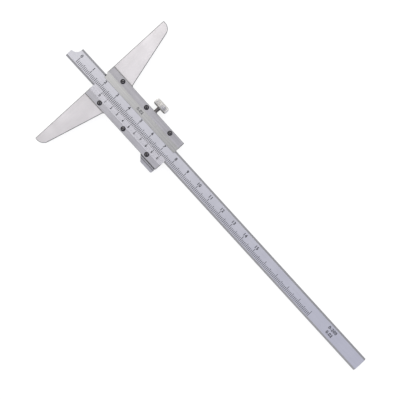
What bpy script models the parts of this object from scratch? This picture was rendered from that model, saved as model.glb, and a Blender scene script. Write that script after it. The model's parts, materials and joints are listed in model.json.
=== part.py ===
"""Vernier depth gauge, lying on its back, in metres with +Z up.

X runs across the beam towards the lock screw, Y runs along the beam towards its measuring tip, and
Z comes out of the graduated face. The origin is in the middle of the base's measuring face, in the
plane of the back that the gauge lies on. The beam is drawn at the reading that READING gives.
"""

import math

import bmesh
import bpy
from mathutils import Matrix, Vector

MM = 0.001

# Clearances shared by every fit, and how far a cutter runs past what it cuts
SEAT_GAP = 0.1 * MM
SLIDE_GAP = 0.1 * MM
CUT_OVERRUN = 2.0 * MM
MERGE_DISTANCE = 0.001 * MM

# Graduated beam
BEAM_LENGTH = 250.0 * MM
BEAM_WIDTH = 9.8 * MM
BEAM_THICKNESS = 3.5 * MM
BEAM_FRONT_CHAMFER = 1.2 * MM
BEAM_BACK_CHAMFER = 0.3 * MM
TIP_NIB_WIDTH = 4.65 * MM
TIP_RELIEF_RADIUS = 4.1 * MM
READING = 23.2 * MM

# Base with its two wings, milled in one piece with the frame
FLOOR_THICKNESS = 3.2 * MM
BASE_SPAN = 100.0 * MM
WING_ROOT_DEPTH = 15.5 * MM
WING_END_DEPTH = 5.4 * MM
WING_END_RADIUS = 5.0 * MM
WING_ROOT_FILLET = 1.5 * MM
FRAME_WIDTH = 22.4 * MM
FRAME_LENGTH = 60.0 * MM
FRAME_CORNER_RADIUS = 0.5 * MM
FRAME_EDGE_BREAK = 0.3 * MM
SPRING_SPACE = 1.4 * MM
FACE_RELIEF_DEPTH = 0.9 * MM
FACE_RELIEF_WALL = 0.2 * MM

# Thumb lug on the frame's left side
LUG_REACH = 3.5 * MM
LUG_LENGTH = 12.8 * MM
LUG_RAMP = 3.5 * MM
LUG_CORNER_RADIUS = 0.9 * MM
LUG_BACK_LEVEL = 1.2 * MM
LUG_THICKNESS = 4.4 * MM
LUG_ROOT_OVERLAP = 1.0 * MM
LUG_WALL_GROOVE_WIDTH = 0.55 * MM
LUG_WALL_GROOVE_DEPTH = 0.9 * MM
LUG_LINE_GROOVE_WIDTH = 0.35 * MM
LUG_LINE_GROOVE_DEPTH = 0.4 * MM
LUG_LINE_GROOVE_OFFSET = 1.3 * MM

# Front plates: the vernier on the left, the plain guide on the right
PLATE_THICKNESS = 1.8 * MM
PLATE_LIP_THICKNESS = 0.25 * MM
PLATE_LAP = 1.9 * MM
VERNIER_BEVEL_WIDTH = 4.7 * MM
GUIDE_BEVEL_WIDTH = 3.95 * MM
PLATE_EDGE_BREAK = 0.2 * MM
PLATE_END_SETBACK = 0.05 * MM
PLATE_END_CHAMFER = 0.4 * MM

# Slotted screws that hold the plates
SCREW_HEAD_DIAMETER = 2.8 * MM
SCREW_HEAD_HEIGHT = 0.85 * MM
SCREW_HEAD_DOME = 0.2 * MM
SCREW_SHANK_DIAMETER = 1.6 * MM
SCREW_SHANK_LENGTH = 3.8 * MM
SCREW_TIP_CHAMFER = 0.25 * MM
SCREW_HOLE_RUNOUT = 0.6 * MM
SCREW_SLOT_WIDTH = 0.5 * MM
SCREW_SLOT_DEPTH = 0.45 * MM
SCREW_WALL_SHARE = 0.57
SCREW_END_DISTANCE = 10.0 * MM
SCREWS_PER_PLATE = 3
SLOT_ANGLES = (35.0, 120.0, 50.0, 140.0, 40.0, 95.0)

# Lock screw through the frame's right wall, with its brass pad
LOCK_PAST_MIDDLE_SCREW = 5.2 * MM
STUD_DIAMETER = 2.5 * MM
STUD_THREAD_PITCH = 0.45 * MM
STUD_THREAD_DEPTH = 0.17 * MM
KNOB_DIAMETER = 9.6 * MM
KNOB_THICKNESS = 4.1 * MM
KNOB_STAND_OFF = 2.9 * MM
KNOB_CHAMFER = 0.7 * MM
KNOB_WEB = 0.8 * MM
KNOB_KNURLS = 40
KNURL_DEPTH = 0.3 * MM
KNURL_CREST_SHARE = 0.3
PAD_DIAMETER = 2.2 * MM
PAD_LENGTH = 1.8 * MM

# Bowed leaf spring that loads the beam against the left wall
SPRING_THICKNESS = 0.3 * MM
SPRING_HEIGHT = 3.0 * MM
SPRING_END_DISTANCE = 4.8 * MM
SPRING_WALL_GAP = 0.1 * MM

# Counts of flats on round shapes
ROUND_STEPS = 32
SMALL_ROUND_STEPS = 24
THREAD_STEPS = 16
ARC_STEPS = 8
BOW_STEPS = 16
ROUND_SMOOTH_ANGLE = math.radians(35)
PRISM_SMOOTH_ANGLE = math.radians(14)
FLAT_ANGLE = math.radians(0.5)

# Levels and places that follow from the sizes above
BEAM_BACK = FLOOR_THICKNESS + SLIDE_GAP
BEAM_FRONT = BEAM_BACK + BEAM_THICKNESS
BEAM_MIDDLE = (BEAM_BACK + BEAM_FRONT) / 2
FRAME_THICKNESS = BEAM_FRONT
PLATE_BACK = FRAME_THICKNESS + SEAT_GAP
PLATE_FRONT = PLATE_BACK + PLATE_THICKNESS
HALF_BEAM = BEAM_WIDTH / 2
HALF_FRAME = FRAME_WIDTH / 2
HALF_BASE = BASE_SPAN / 2
CHANNEL_LEFT = -HALF_BEAM - SLIDE_GAP
CHANNEL_RIGHT = HALF_BEAM + SPRING_SPACE
HEAD_SEAT = PLATE_FRONT - SCREW_HEAD_HEIGHT
SCREW_UNDERHEAD = HEAD_SEAT + SEAT_GAP
SCREW_POINT = SCREW_UNDERHEAD - SCREW_SHANK_LENGTH
LUG_FRONT_LEVEL = LUG_BACK_LEVEL + LUG_THICKNESS
SCREW_OFFSET = CHANNEL_RIGHT + SCREW_WALL_SHARE * (HALF_FRAME - CHANNEL_RIGHT)
SCREW_PITCH = (FRAME_LENGTH - 2 * SCREW_END_DISTANCE) / (SCREWS_PER_PLATE - 1)
LOCK_DEPTH = FRAME_LENGTH / 2 + LOCK_PAST_MIDDLE_SCREW
HALF_SPRING = FRAME_LENGTH - LOCK_DEPTH - SPRING_END_DISTANCE
KNOB_START = HALF_FRAME + KNOB_STAND_OFF
KNOB_END = KNOB_START + KNOB_THICKNESS
STUD_END = KNOB_END - KNOB_WEB - SEAT_GAP
PAD_START = HALF_BEAM + SLIDE_GAP + SPRING_THICKNESS + SEAT_GAP
STUD_START = PAD_START + PAD_LENGTH + SEAT_GAP


def clear_scene():
    for item in list(bpy.data.objects):
        bpy.data.objects.remove(item, do_unlink=True)


def make_collection(name):
    collection = bpy.data.collections.new(name)
    bpy.context.scene.collection.children.link(collection)
    return collection


def make_material(name, colour, roughness, metallic):
    material = bpy.data.materials.new(name)
    material.use_nodes = True
    shader = material.node_tree.nodes["Principled BSDF"]
    shader.inputs["Base Color"].default_value = (*colour, 1.0)
    shader.inputs["Roughness"].default_value = roughness
    shader.inputs["Metallic"].default_value = metallic
    return material


def add_object(name, mesh, collection, material=None):
    made = bpy.data.objects.new(name, mesh)
    collection.objects.link(made)
    if material:
        mesh.materials.append(material)
    return made


def mesh_from(name, shape):
    bmesh.ops.recalc_face_normals(shape, faces=shape.faces)
    mesh = bpy.data.meshes.new(name)
    shape.to_mesh(mesh)
    shape.free()
    return mesh


def smooth_shading(mesh, angle):
    mesh.shade_smooth()
    mesh.set_sharp_from_angle(angle=angle)
    return mesh


def box_mesh(name, low, high):
    """A box between two corners."""
    shape = bmesh.new()
    low, high = Vector(low), Vector(high)
    size = high - low
    place = Matrix.Translation((low + high) / 2) @ Matrix.Diagonal((*size, 1))
    bmesh.ops.create_cube(shape, size=1, matrix=place)
    return mesh_from(name, shape)


def cylinder_mesh(name, radius, start, end, steps):
    """A cylinder from one point to another."""
    shape = bmesh.new()
    start, end = Vector(start), Vector(end)
    axis = end - start
    turn = axis.to_track_quat("Z", "Y").to_matrix().to_4x4()
    bmesh.ops.create_cone(
        shape,
        cap_ends=True,
        segments=steps,
        radius1=radius,
        radius2=radius,
        depth=axis.length,
        matrix=Matrix.Translation((start + end) / 2) @ turn,
    )
    return smooth_shading(mesh_from(name, shape), ROUND_SMOOTH_ANGLE)


def joined_mesh(name, meshes):
    """Several closed shapes as one mesh, for a cutter with many holes."""
    shape = bmesh.new()
    for mesh in meshes:
        shape.from_mesh(mesh)
        bpy.data.meshes.remove(mesh)
    return mesh_from(name, shape)


def evaluated_mesh(holder):
    """The mesh that a curve or a modified object makes; the holder itself is removed."""
    bpy.context.scene.collection.objects.link(holder)
    graph = bpy.context.evaluated_depsgraph_get()
    mesh = bpy.data.meshes.new_from_object(holder.evaluated_get(graph))
    bpy.data.objects.remove(holder)
    return mesh


def prism_mesh(name, outline, low, high, place=None):
    """A flat outline in X and Y, made as thick as low to high in Z, then put in place."""
    curve = bpy.data.curves.new(name, "CURVE")
    curve.dimensions = "2D"
    curve.fill_mode = "BOTH"
    curve.extrude = (high - low) / 2
    spline = curve.splines.new("POLY")
    spline.points.add(len(outline) - 1)
    for point, (x, y) in zip(spline.points, outline):
        point.co = (x, y, 0, 1)
    spline.use_cyclic_u = True
    mesh = evaluated_mesh(bpy.data.objects.new(name, curve))
    shape = bmesh.new()
    shape.from_mesh(mesh)
    bpy.data.meshes.remove(mesh)
    bmesh.ops.remove_doubles(shape, verts=shape.verts, dist=MERGE_DISTANCE)
    bmesh.ops.dissolve_limit(shape, angle_limit=FLAT_ANGLE, verts=shape.verts, edges=shape.edges)
    lift = Matrix.Translation((0, 0, (low + high) / 2))
    bmesh.ops.transform(shape, matrix=(place or Matrix()) @ lift, verts=shape.verts)
    return smooth_shading(mesh_from(name, shape), PRISM_SMOOTH_ANGLE)


def round_corner(before, corner, after, radius):
    """Points of the arc that rounds a corner of an outline."""
    before, corner, after = Vector(before), Vector(corner), Vector(after)
    into = (before - corner).normalized()
    out = (after - corner).normalized()
    half = into.angle(out) / 2
    centre = corner + (into + out).normalized() * (radius / math.sin(half))
    first = corner + into * (radius / math.tan(half)) - centre
    last = corner + out * (radius / math.tan(half)) - centre
    sweep = first.angle_signed(last)
    points = []
    for step in range(ARC_STEPS + 1):
        turn = Matrix.Rotation(-sweep * step / ARC_STEPS, 2)
        points.append(tuple(centre + turn @ first))
    return points


def rounded_outline(corners):
    """An outline from (x, y, radius) corners, where a radius of zero leaves the corner sharp."""
    points = []
    for index, (x, y, radius) in enumerate(corners):
        if radius == 0:
            points.append((x, y))
            continue
        before = corners[index - 1][:2]
        after = corners[(index + 1) % len(corners)][:2]
        points.extend(round_corner(before, (x, y), after, radius))
    return points


def turned_mesh(name, profile, steps):
    """A turned shape about Z, from (radius, height) points that run down its outer side."""
    line = bpy.data.meshes.new(name)
    points = [(radius, 0, height) for radius, height in profile]
    line.from_pydata(points, [(i, i + 1) for i in range(len(points) - 1)], [])
    holder = bpy.data.objects.new(name, line)
    screw = holder.modifiers.new("Turned", "SCREW")
    screw.steps = steps
    screw.render_steps = steps
    screw.use_merge_vertices = True
    screw.merge_threshold = MERGE_DISTANCE
    return smooth_shading(evaluated_mesh(holder), ROUND_SMOOTH_ANGLE)


def add_bevel(target, width, segments=1):
    bevel = target.modifiers.new("Broken edges", "BEVEL")
    bevel.width = width
    bevel.segments = segments
    bevel.limit_method = "ANGLE"
    bevel.angle_limit = ROUND_SMOOTH_ANGLE


def add_boolean(target, mesh, cutters, operation="DIFFERENCE"):
    """Cuts, joins or trims target with a mesh, which is kept as a hidden helper."""
    tool = add_object(mesh.name, mesh, cutters)
    tool.hide_render = True
    tool.display_type = "WIRE"
    boolean = target.modifiers.new(mesh.name, "BOOLEAN")
    boolean.operation = operation
    boolean.solver = "EXACT"
    boolean.object = tool
    return tool


def screw_rows():
    """Where the plate screws stand along the frame."""
    return [-SCREW_END_DISTANCE - SCREW_PITCH * row for row in range(SCREWS_PER_PLATE)]


def face_relief(name):
    """The small corner beside the beam that is cut away at the measuring face."""
    inner = HALF_BEAM + FACE_RELIEF_WALL
    lap_edge = HALF_BEAM - PLATE_LAP - CUT_OVERRUN
    outline = [
        (lap_edge, CUT_OVERRUN),
        (CHANNEL_RIGHT, CUT_OVERRUN),
        (CHANNEL_RIGHT, 0),
        (inner, -FACE_RELIEF_DEPTH),
        (lap_edge, -FACE_RELIEF_DEPTH),
    ]
    return prism_mesh(name, outline, -CUT_OVERRUN, PLATE_FRONT + CUT_OVERRUN)


def corner_relief(name):
    """The same corner in the base, which leaves the floor whole behind the beam."""
    inner = HALF_BEAM + FACE_RELIEF_WALL
    outline = [
        (inner, CUT_OVERRUN),
        (CHANNEL_RIGHT, CUT_OVERRUN),
        (CHANNEL_RIGHT, 0),
        (inner, -FACE_RELIEF_DEPTH),
    ]
    return prism_mesh(name, outline, -CUT_OVERRUN, FRAME_THICKNESS + CUT_OVERRUN)


def edge_wedge(edge, side, level, way, chamfer):
    """A wedge that takes a chamfer off an edge; side and way point out of the piece."""
    past = chamfer + CUT_OVERRUN
    return [
        (edge - side * chamfer, level),
        (edge - side * chamfer, level + way * CUT_OVERRUN),
        (edge + side * CUT_OVERRUN, level + way * CUT_OVERRUN),
        (edge + side * CUT_OVERRUN, level - way * past),
    ]


def build_beam(parts, cutters, material):
    """The graduated beam, whose tip is a narrow nib beside a quarter-round relief."""
    tip = READING
    tail = tip - BEAM_LENGTH
    nib_side = TIP_NIB_WIDTH - HALF_BEAM
    shoulder = tip - TIP_RELIEF_RADIUS
    outline = [(-HALF_BEAM, tail), (HALF_BEAM, tail), (HALF_BEAM, shoulder)]
    for step in range(ARC_STEPS + 1):
        angle = math.radians(270 - 90 * step / ARC_STEPS)
        x = nib_side + TIP_RELIEF_RADIUS * (1 + math.cos(angle))
        y = tip + TIP_RELIEF_RADIUS * math.sin(angle)
        outline.append((x, y))
    outline.append((-HALF_BEAM, tip))
    mesh = prism_mesh("beam", outline, BEAM_BACK, BEAM_FRONT)
    beam = add_object("beam", mesh, parts, material)
    for side in (-1, 1):
        for level, chamfer, way in (
            (BEAM_FRONT, BEAM_FRONT_CHAMFER, 1),
            (BEAM_BACK, BEAM_BACK_CHAMFER, -1),
        ):
            corner = edge_wedge(side * HALF_BEAM, side, level, way, chamfer)
            name = f"beam_chamfer_{'left' if side < 0 else 'right'}_{'front' if way > 0 else 'back'}"
            stand = Matrix.Rotation(math.pi / 2, 4, "X")
            cutter = prism_mesh(name, corner, -tip - CUT_OVERRUN, -tail + CUT_OVERRUN, stand)
            add_boolean(beam, cutter, cutters)
    return beam


def base_corners():
    """The base and frame seen from the front, as corners with their radii, going clockwise."""
    right = [
        (HALF_BASE, 0, 0),
        (HALF_BASE, -WING_END_DEPTH, WING_END_RADIUS),
        (HALF_FRAME, -WING_ROOT_DEPTH, WING_ROOT_FILLET),
        (HALF_FRAME, -FRAME_LENGTH, FRAME_CORNER_RADIUS),
    ]
    left = [(-x, y, radius) for x, y, radius in reversed(right)]
    return right + left


def lug_mesh():
    """The thumb lug's block, which laps into the frame's side."""
    root = -HALF_FRAME + LUG_ROOT_OVERLAP
    outer = -HALF_FRAME - LUG_REACH
    top = -FRAME_LENGTH + LUG_LENGTH
    corners = [
        (-HALF_FRAME, top, 0),
        (root, top, 0),
        (root, -FRAME_LENGTH + FRAME_EDGE_BREAK, 0),
        (outer, -FRAME_LENGTH + FRAME_EDGE_BREAK, LUG_CORNER_RADIUS),
        (outer, top - LUG_RAMP, LUG_CORNER_RADIUS),
    ]
    return prism_mesh("thumb_lug", rounded_outline(corners), LUG_BACK_LEVEL, LUG_FRONT_LEVEL)


def lug_groove_mesh():
    """Two grooves along the lug: one beside the frame's wall and a finer one further out."""
    grooves = []
    for name, inner, width, depth in (
        ("wall_groove", 0, LUG_WALL_GROOVE_WIDTH, LUG_WALL_GROOVE_DEPTH),
        ("line_groove", LUG_LINE_GROOVE_OFFSET, LUG_LINE_GROOVE_WIDTH, LUG_LINE_GROOVE_DEPTH),
    ):
        right = -HALF_FRAME - inner
        low = (right - width, -FRAME_LENGTH - CUT_OVERRUN, LUG_FRONT_LEVEL - depth)
        high = (right, -FRAME_LENGTH + LUG_LENGTH + CUT_OVERRUN, LUG_FRONT_LEVEL + CUT_OVERRUN)
        grooves.append(box_mesh(name, low, high))
    return joined_mesh("lug_grooves", grooves)


def build_base_frame(parts, cutters, material):
    """The base with its wings and the channelled frame, in one piece."""
    mesh = prism_mesh("base_frame", rounded_outline(base_corners()), 0, FRAME_THICKNESS)
    frame = add_object("base_frame", mesh, parts, material)
    add_bevel(frame, FRAME_EDGE_BREAK)
    lug = add_boolean(frame, lug_mesh(), cutters, "UNION")
    add_boolean(lug, lug_groove_mesh(), cutters)
    channel = box_mesh(
        "beam_channel",
        (CHANNEL_LEFT, -FRAME_LENGTH - CUT_OVERRUN, FLOOR_THICKNESS),
        (CHANNEL_RIGHT, CUT_OVERRUN, FRAME_THICKNESS + CUT_OVERRUN),
    )
    add_boolean(frame, channel, cutters)
    add_boolean(frame, corner_relief("base_corner_relief"), cutters)
    bore_radius = STUD_DIAMETER / 2 + SEAT_GAP
    start = (CHANNEL_RIGHT - CUT_OVERRUN, -LOCK_DEPTH, BEAM_MIDDLE)
    end = (HALF_FRAME + CUT_OVERRUN, -LOCK_DEPTH, BEAM_MIDDLE)
    bore = cylinder_mesh("lock_bore", bore_radius, start, end, SMALL_ROUND_STEPS)
    add_boolean(frame, bore, cutters)
    hole_radius = SCREW_SHANK_DIAMETER / 2 + SEAT_GAP
    bottom = SCREW_POINT - SCREW_HOLE_RUNOUT
    top = FRAME_THICKNESS + CUT_OVERRUN
    holes = []
    for side in (-SCREW_OFFSET, SCREW_OFFSET):
        for row in screw_rows():
            low, high = (side, row, bottom), (side, row, top)
            holes.append(cylinder_mesh("hole", hole_radius, low, high, SMALL_ROUND_STEPS))
    add_boolean(frame, joined_mesh("tapped_holes", holes), cutters)
    return frame


def plate_profile(side, bevel_width):
    """A plate's section in X and Z: flat where the screws are, bevelled down to a thin lip."""
    outer = side * HALF_FRAME
    lip = side * (HALF_BEAM - PLATE_LAP)
    ridge = lip + side * bevel_width
    broken = outer - side * PLATE_EDGE_BREAK
    return [
        (lip, PLATE_BACK),
        (lip, PLATE_BACK + PLATE_LIP_THICKNESS),
        (ridge, PLATE_FRONT),
        (broken, PLATE_FRONT),
        (outer, PLATE_FRONT - PLATE_EDGE_BREAK),
        (outer, PLATE_BACK),
    ]


def build_plate(name, side, bevel_width, parts, cutters, material):
    """One front plate with chamfered ends and its three counterbored screw holes."""
    stand = Matrix.Rotation(math.pi / 2, 4, "X")
    start, end = PLATE_END_SETBACK, FRAME_LENGTH - PLATE_END_SETBACK
    mesh = prism_mesh(name, plate_profile(side, bevel_width), start, end, stand)
    plate = add_object(name, mesh, parts, material)
    reach = HALF_FRAME + CUT_OVERRUN
    across = Matrix.Rotation(math.pi / 2, 4, "Z") @ stand
    for edge, way in ((-start, 1), (-end, -1)):
        wedge = edge_wedge(edge, way, PLATE_FRONT, 1, PLATE_END_CHAMFER)
        cutter = prism_mesh(f"{name}_end_{'front' if way > 0 else 'back'}", wedge, -reach, reach, across)
        add_boolean(plate, cutter, cutters)
    shank_hole = SCREW_SHANK_DIAMETER / 2 + SEAT_GAP
    head_hole = SCREW_HEAD_DIAMETER / 2 + SEAT_GAP
    x = side * SCREW_OFFSET
    holes, counterbores = [], []
    for row in screw_rows():
        back = (x, row, PLATE_BACK - CUT_OVERRUN)
        seat = (x, row, HEAD_SEAT)
        past = (x, row, PLATE_FRONT + CUT_OVERRUN)
        holes.append(cylinder_mesh("hole", shank_hole, back, past, SMALL_ROUND_STEPS))
        counterbores.append(cylinder_mesh("counterbore", head_hole, seat, past, ROUND_STEPS))
    add_boolean(plate, joined_mesh(f"{name}_holes", holes), cutters)
    add_boolean(plate, joined_mesh(f"{name}_counterbores", counterbores), cutters)
    return plate


def build_plate_screw(name, place, slot_angle, parts, cutters, material):
    """A slotted screw with a low domed head, standing in its plate."""
    head = SCREW_HEAD_DIAMETER / 2
    shank = SCREW_SHANK_DIAMETER / 2
    rim = SCREW_UNDERHEAD + SCREW_HEAD_HEIGHT
    profile = []
    for step in range(ARC_STEPS // 2 + 1):
        share = step / (ARC_STEPS // 2)
        profile.append((head * share, rim + SCREW_HEAD_DOME * (1 - share * share)))
    profile += [
        (head, SCREW_UNDERHEAD),
        (shank, SCREW_UNDERHEAD),
        (shank, SCREW_POINT + SCREW_TIP_CHAMFER),
        (shank - SCREW_TIP_CHAMFER, SCREW_POINT),
        (0, SCREW_POINT),
    ]
    screw = add_object(name, turned_mesh(name, profile, SMALL_ROUND_STEPS), parts, material)
    screw.location = place
    crown = rim + SCREW_HEAD_DOME
    slot = box_mesh(
        f"{name}_slot",
        (-head - CUT_OVERRUN, -SCREW_SLOT_WIDTH / 2, crown - SCREW_SLOT_DEPTH),
        (head + CUT_OVERRUN, SCREW_SLOT_WIDTH / 2, crown + CUT_OVERRUN),
    )
    turn = Matrix.Rotation(math.radians(slot_angle), 4, "Z")
    slot.transform(Matrix.Translation(place) @ turn)
    add_boolean(screw, slot, cutters)
    return screw


def build_plate_screws(parts, cutters, material):
    angles = iter(SLOT_ANGLES)
    for plate, side in (("vernier", -SCREW_OFFSET), ("guide", SCREW_OFFSET)):
        for number, row in enumerate(screw_rows(), start=1):
            name = f"{plate}_plate_screw_{number}"
            build_plate_screw(name, (side, row, 0), next(angles), parts, cutters, material)


def build_leaf_spring(parts, material):
    """A bowed strip: its middle lies by the beam's edge, its ends by the frame's right wall."""
    beam_side = HALF_BEAM + SLIDE_GAP
    bow = CHANNEL_RIGHT - SPRING_WALL_GAP - SPRING_THICKNESS - beam_side
    near, far = [], []
    for step in range(BOW_STEPS + 1):
        share = 2 * step / BOW_STEPS - 1
        x = beam_side + bow * share * share
        y = -LOCK_DEPTH + HALF_SPRING * share
        near.append((x, y))
        far.append((x + SPRING_THICKNESS, y))
    low = BEAM_MIDDLE - SPRING_HEIGHT / 2
    mesh = prism_mesh("leaf_spring", near + far[::-1], low, low + SPRING_HEIGHT)
    return add_object("leaf_spring", mesh, parts, material)


def lock_axis(name, parts):
    """An empty on the lock screw's axis, whose Z points out of the frame."""
    axis = bpy.data.objects.new(name, None)
    axis.location = (0, -LOCK_DEPTH, BEAM_MIDDLE)
    axis.rotation_euler = (0, math.pi / 2, 0)
    parts.objects.link(axis)
    return axis


def build_lock_pad(axis, parts, material):
    """The brass pad between the stud's end and the leaf spring."""
    low, high = (0, 0, PAD_START), (0, 0, PAD_START + PAD_LENGTH)
    mesh = cylinder_mesh("lock_pad", PAD_DIAMETER / 2, low, high, SMALL_ROUND_STEPS)
    pad = add_object("lock_pad", mesh, parts, material)
    pad.parent = axis
    return pad


def build_lock_stud(axis, parts, material):
    """The blackened stud, with its thread as grooves of the right pitch and depth."""
    crest = STUD_DIAMETER / 2
    root = crest - STUD_THREAD_DEPTH
    profile = [(0, STUD_END), (root, STUD_END)]
    for groove in range(int((STUD_END - STUD_START) / STUD_THREAD_PITCH)):
        top = STUD_END - groove * STUD_THREAD_PITCH
        profile.append((crest, top - STUD_THREAD_PITCH / 2))
        profile.append((root, top - STUD_THREAD_PITCH))
    profile += [(root, STUD_START), (0, STUD_START)]
    mesh = turned_mesh("lock_stud", profile, THREAD_STEPS)
    stud = add_object("lock_stud", mesh, parts, material)
    stud.parent = axis
    return stud


def knob_outline():
    """The knurled rim as a ring of flat crests with a root between each two."""
    crest = KNOB_DIAMETER / 2
    root = crest - KNURL_DEPTH
    half = KNURL_CREST_SHARE / 2
    points = []
    for knurl in range(KNOB_KNURLS):
        for radius, share in ((crest, -half), (crest, half), (root, 1 / 2)):
            angle = 2 * math.pi * (knurl + share) / KNOB_KNURLS
            points.append((radius * math.cos(angle), radius * math.sin(angle)))
    return points


def build_lock_knob(axis, parts, cutters, material):
    """The knurled head, chamfered at both rims and bored for the stud."""
    mesh = prism_mesh("lock_knob", knob_outline(), KNOB_START, KNOB_END)
    knob = add_object("lock_knob", mesh, parts, material)
    knob.parent = axis
    face = KNOB_DIAMETER / 2 - KNOB_CHAMFER
    drop = KNOB_CHAMFER + KNURL_DEPTH
    trim_profile = [
        (0, KNOB_END),
        (face, KNOB_END),
        (face + drop, KNOB_END - drop),
        (face + drop, KNOB_START + drop),
        (face, KNOB_START),
        (0, KNOB_START),
    ]
    place = Matrix.Translation(axis.location) @ axis.rotation_euler.to_matrix().to_4x4()
    trim = turned_mesh("knob_rims", trim_profile, ROUND_STEPS * 2)
    trim.transform(place)
    add_boolean(knob, trim, cutters, "INTERSECT")
    bore_radius = STUD_DIAMETER / 2 + SEAT_GAP
    low, high = (0, 0, KNOB_START - CUT_OVERRUN), (0, 0, KNOB_END - KNOB_WEB)
    bore = cylinder_mesh("knob_bore", bore_radius, low, high, SMALL_ROUND_STEPS)
    bore.transform(place)
    add_boolean(knob, bore, cutters)
    return knob


def main():
    clear_scene()
    parts = make_collection("depth_gauge")
    cutters = make_collection("cutters")

    satin_steel = make_material("satin_chromed_steel", (0.60, 0.60, 0.64), 0.42, 1.0)
    ground_steel = make_material("ground_steel", (0.72, 0.71, 0.71), 0.32, 1.0)
    plate_steel = make_material("matt_plate_steel", (0.50, 0.49, 0.50), 0.45, 1.0)
    blued_steel = make_material("blued_steel", (0.03, 0.03, 0.035), 0.35, 1.0)
    knob_steel = make_material("nickelled_knob", (0.66, 0.65, 0.63), 0.30, 1.0)
    spring_steel = make_material("spring_steel", (0.35, 0.36, 0.40), 0.30, 1.0)
    brass = make_material("brass", (0.70, 0.52, 0.22), 0.35, 1.0)

    build_beam(parts, cutters, satin_steel)
    build_base_frame(parts, cutters, ground_steel)
    build_plate("vernier_plate", -1, VERNIER_BEVEL_WIDTH, parts, cutters, satin_steel)
    guide = build_plate("guide_plate", 1, GUIDE_BEVEL_WIDTH, parts, cutters, plate_steel)
    add_boolean(guide, face_relief("guide_corner_relief"), cutters)
    build_plate_screws(parts, cutters, blued_steel)
    build_leaf_spring(parts, spring_steel)
    axis = lock_axis("lock_axis", parts)
    build_lock_pad(axis, parts, brass)
    build_lock_stud(axis, parts, blued_steel)
    build_lock_knob(axis, parts, cutters, knob_steel)


main()
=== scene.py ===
"""The looks of a vernier depth gauge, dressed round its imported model.

Sizes in the classes are millimetres in the gauge's own frame: X across the beam towards the lock
screw, Y along the beam towards its measuring tip, Z out of the graduated face. They become metres
where a mesh or a place is made.
"""

from __future__ import annotations

import json
import logging
import math
from dataclasses import dataclass, field
from enum import Enum
from typing import Any, Iterable, Sequence

import bmesh
import bpy
from mathutils import Matrix, Vector

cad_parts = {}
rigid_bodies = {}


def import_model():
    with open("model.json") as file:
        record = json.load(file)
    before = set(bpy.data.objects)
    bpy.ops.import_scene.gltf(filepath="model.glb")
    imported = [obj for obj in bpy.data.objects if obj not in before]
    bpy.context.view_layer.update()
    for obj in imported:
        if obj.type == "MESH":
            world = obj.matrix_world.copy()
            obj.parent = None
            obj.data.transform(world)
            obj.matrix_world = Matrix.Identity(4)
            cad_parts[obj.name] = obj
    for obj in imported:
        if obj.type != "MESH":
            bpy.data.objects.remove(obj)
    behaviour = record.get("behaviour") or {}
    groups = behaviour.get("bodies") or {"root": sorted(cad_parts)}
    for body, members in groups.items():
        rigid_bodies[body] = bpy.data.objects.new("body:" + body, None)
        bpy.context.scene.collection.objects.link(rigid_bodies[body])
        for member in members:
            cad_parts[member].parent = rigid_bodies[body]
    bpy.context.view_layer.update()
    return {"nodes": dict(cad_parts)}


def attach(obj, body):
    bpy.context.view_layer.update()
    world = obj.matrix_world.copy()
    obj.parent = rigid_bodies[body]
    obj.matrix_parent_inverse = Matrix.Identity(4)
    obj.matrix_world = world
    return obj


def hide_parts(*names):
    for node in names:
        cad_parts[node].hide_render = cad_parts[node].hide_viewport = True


MM = 0.001
MERGE_DISTANCE = 0.0005
SMOOTH_ANGLE = 30.0

Colour = tuple[float, float, float]
Point = tuple[float, float, float]
Profile = Sequence[tuple[float, float]]
Span = tuple[float, float]

# Where each mask over a surface starts and is full.
EDGE_BEND: Span = (0.995, 0.9)
CORNER_OPENNESS: Span = (0.82, 0.5)
OFF_FLAT: Span = (0.99, 0.965)
CHAMFERED: Span = (0.86, 0.78)
UPRIGHT: Span = (0.45, 0.25)

log = logging.getLogger("depth_gauge")


class Body(Enum):
    """The moving bodies that a piece can ride on."""

    BASE = "base"
    BEAM = "beam"
    LOCK_SCREW = "lock_screw"


class Slot(Enum):
    """Names of the record's material slots, passed along with new pieces."""

    BEAM = "beam_steel"
    VERNIER = "vernier_steel"
    GUIDE = "guide_steel"
    SCREW = "blackened_screw"
    STUD = "stud_steel"
    KNOB = "knob_steel"


class Lay(Enum):
    """Which way the working lines of a surface run, as lines for each millimetre in X, Y and Z."""

    ALONG_X = (0.12, 7.0, 7.0)
    ALONG_Y = (7.0, 0.12, 7.0)


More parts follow.
